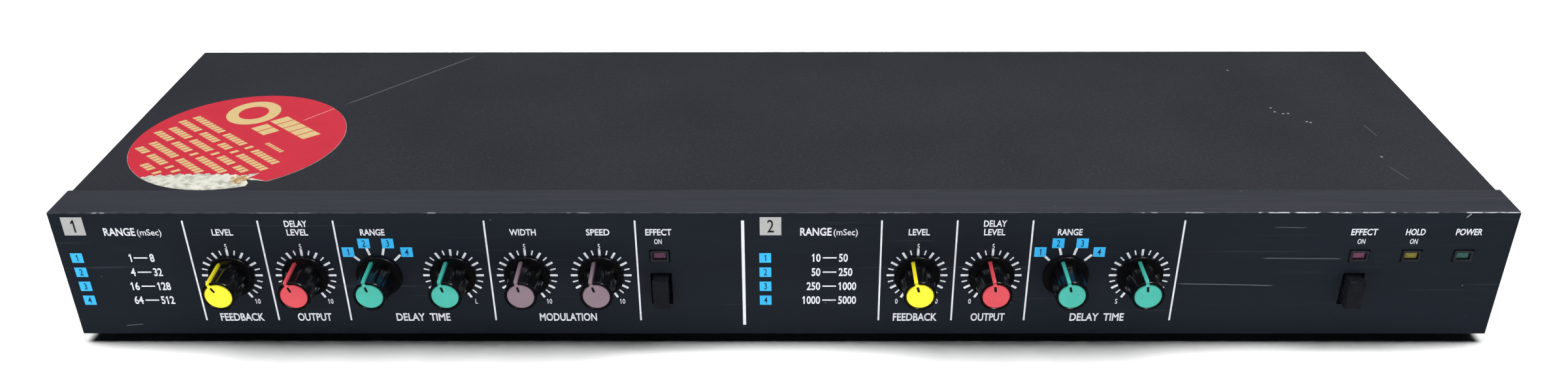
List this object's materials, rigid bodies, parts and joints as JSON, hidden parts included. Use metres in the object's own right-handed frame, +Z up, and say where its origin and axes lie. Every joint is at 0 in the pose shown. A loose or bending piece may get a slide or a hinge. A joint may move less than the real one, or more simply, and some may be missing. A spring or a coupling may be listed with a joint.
{
  "type": "rack effects unit",
  "caption": "One-unit-high half-depth rack effects unit: dark metal case, skirted knobs with coloured pointer caps, push buttons, indicator lamps and rear sockets.",
  "frame": {"origin": "middle of the footprint, on the surface the feet stand on", "axes": "+X to the right along the panel, -Y out of the front panel, +Z up"},
  "size_m": [0.442, 0.1396, 0.047],
  "materials": {
    "panel_aluminium": "black anodised and printed, satin, fine brushing on the top flange",
    "cover_paint": "dark grey satin paint on steel sheet",
    "tray_paint": "black satin paint on steel sheet",
    "knob_black": "black moulded, polished on the rim and shoulder",
    "cap_yellow": "yellow moulded, semi-matt",
    "cap_red": "coral red moulded, semi-matt",
    "cap_green": "sea green moulded, semi-matt",
    "cap_mauve": "grey mauve moulded, semi-matt",
    "control_metal": "plated steel can, bush and nut",
    "bezel_black": "black moulded",
    "lens_red": "unlit red lens",
    "lens_yellow": "unlit yellow lens",
    "lens_green": "unlit green lens",
    "button_black": "black moulded, satin",
    "switch_plastic": "black moulded switch case",
    "circuit_board": "green laminate with its components",
    "core_steel": "varnished laminations",
    "socket_plastic": "black moulded",
    "foot_rubber": "black rubber"
  },
  "bodies": {
    "root": {"front_panel": "panel_aluminium", "top_cover": "cover_paint", "chassis_tray": "tray_paint", "ch1_feedback_pot": "control_metal", "ch1_output_pot": "control_metal", "ch1_range_selector": "control_metal", "ch1_time_pot": "control_metal", "ch1_width_pot": "control_metal", "ch1_speed_pot": "control_metal", "ch2_feedback_pot": "control_metal", "ch2_output_pot": "control_metal", "ch2_range_selector": "control_metal", "ch2_time_pot": "control_metal", "ch1_effect_bezel": "bezel_black", "ch1_effect_lamp": "lens_red", "ch2_effect_bezel": "bezel_black", "ch2_effect_lamp": "lens_red", "hold_bezel": "bezel_black", "hold_lamp": "lens_yellow", "power_bezel": "bezel_black", "power_lamp": "lens_green", "ch1_effect_switch": "switch_plastic", "ch2_effect_switch": "switch_plastic", "main_board": "circuit_board", "control_board": "circuit_board", "power_transformer": "core_steel", "ch1_input_jack": "socket_plastic", "ch1_output_jack": "socket_plastic", "ch2_input_jack": "socket_plastic", "ch2_output_jack": "socket_plastic", "effect_switch_jack": "socket_plastic", "hold_switch_jack": "socket_plastic", "mains_inlet": "socket_plastic", "fuse_holder": "socket_plastic", "foot_front_left": "foot_rubber", "foot_front_right": "foot_rubber", "foot_rear_left": "foot_rubber", "foot_rear_right": "foot_rubber"},
    "ch1_feedback_control": {"ch1_feedback_knob": "knob_black", "ch1_feedback_cap": "cap_yellow"},
    "ch1_output_control": {"ch1_output_knob": "knob_black", "ch1_output_cap": "cap_red"},
    "ch1_range_control": {"ch1_range_knob": "knob_black", "ch1_range_cap": "cap_green"},
    "ch1_time_control": {"ch1_time_knob": "knob_black", "ch1_time_cap": "cap_green"},
    "ch1_width_control": {"ch1_width_knob": "knob_black", "ch1_width_cap": "cap_mauve"},
    "ch1_speed_control": {"ch1_speed_knob": "knob_black", "ch1_speed_cap": "cap_mauve"},
    "ch2_feedback_control": {"ch2_feedback_knob": "knob_black", "ch2_feedback_cap": "cap_yellow"},
    "ch2_output_control": {"ch2_output_knob": "knob_black", "ch2_output_cap": "cap_red"},
    "ch2_range_control": {"ch2_range_knob": "knob_black", "ch2_range_cap": "cap_green"},
    "ch2_time_control": {"ch2_time_knob": "knob_black", "ch2_time_cap": "cap_green"},
    "ch1_effect_key": {"ch1_effect_button": "button_black"},
    "ch2_effect_key": {"ch2_effect_button": "button_black"}
  },
  "joints": [
    {"name": "ch1_feedback_turn", "type": "hinge", "parent": "root", "child": "ch1_feedback_control", "pos_m": [-0.1694, -0.0638, 0.0248], "axis": [0, 1, 0], "range_deg": [-120, 180]},
    {"name": "ch1_output_turn", "type": "hinge", "parent": "root", "child": "ch1_output_control", "pos_m": [-0.14665, -0.0638, 0.0248], "axis": [0, 1, 0], "range_deg": [-127, 173]},
    {"name": "ch1_range_turn", "type": "hinge", "parent": "root", "child": "ch1_range_control", "pos_m": [-0.1239, -0.0638, 0.0248], "axis": [0, 1, 0], "range_deg": [-30, 60]},
    {"name": "ch1_time_turn", "type": "hinge", "parent": "root", "child": "ch1_time_control", "pos_m": [-0.10115, -0.0638, 0.0248], "axis": [0, 1, 0], "range_deg": [-135, 165]},
    {"name": "ch1_width_turn", "type": "hinge", "parent": "root", "child": "ch1_width_control", "pos_m": [-0.0784, -0.0638, 0.0248], "axis": [0, 1, 0], "range_deg": [-137, 163]},
    {"name": "ch1_speed_turn", "type": "hinge", "parent": "root", "child": "ch1_speed_control", "pos_m": [-0.05565, -0.0638, 0.0248], "axis": [0, 1, 0], "range_deg": [-132, 168]},
    {"name": "ch2_feedback_turn", "type": "hinge", "parent": "root", "child": "ch2_feedback_control", "pos_m": [0.0415, -0.0638, 0.0248], "axis": [0, 1, 0], "range_deg": [-134, 166]},
    {"name": "ch2_output_turn", "type": "hinge", "parent": "root", "child": "ch2_output_control", "pos_m": [0.06425, -0.0638, 0.0248], "axis": [0, 1, 0], "range_deg": [-141, 159]},
    {"name": "ch2_range_turn", "type": "hinge", "parent": "root", "child": "ch2_range_control", "pos_m": [0.087, -0.0638, 0.0248], "axis": [0, 1, 0], "range_deg": [-30, 60]},
    {"name": "ch2_time_turn", "type": "hinge", "parent": "root", "child": "ch2_time_control", "pos_m": [0.10975, -0.0638, 0.0248], "axis": [0, 1, 0], "range_deg": [-141, 159]},
    {"name": "ch1_effect_press", "type": "slide", "parent": "root", "child": "ch1_effect_key", "axis": [0, 1, 0], "range_m": [0, 0.0025], "stiffness_N_per_m": 600},
    {"name": "ch2_effect_press", "type": "slide", "parent": "root", "child": "ch2_effect_key", "axis": [0, 1, 0], "range_m": [0, 0.0025], "stiffness_N_per_m": 600}
  ]
}
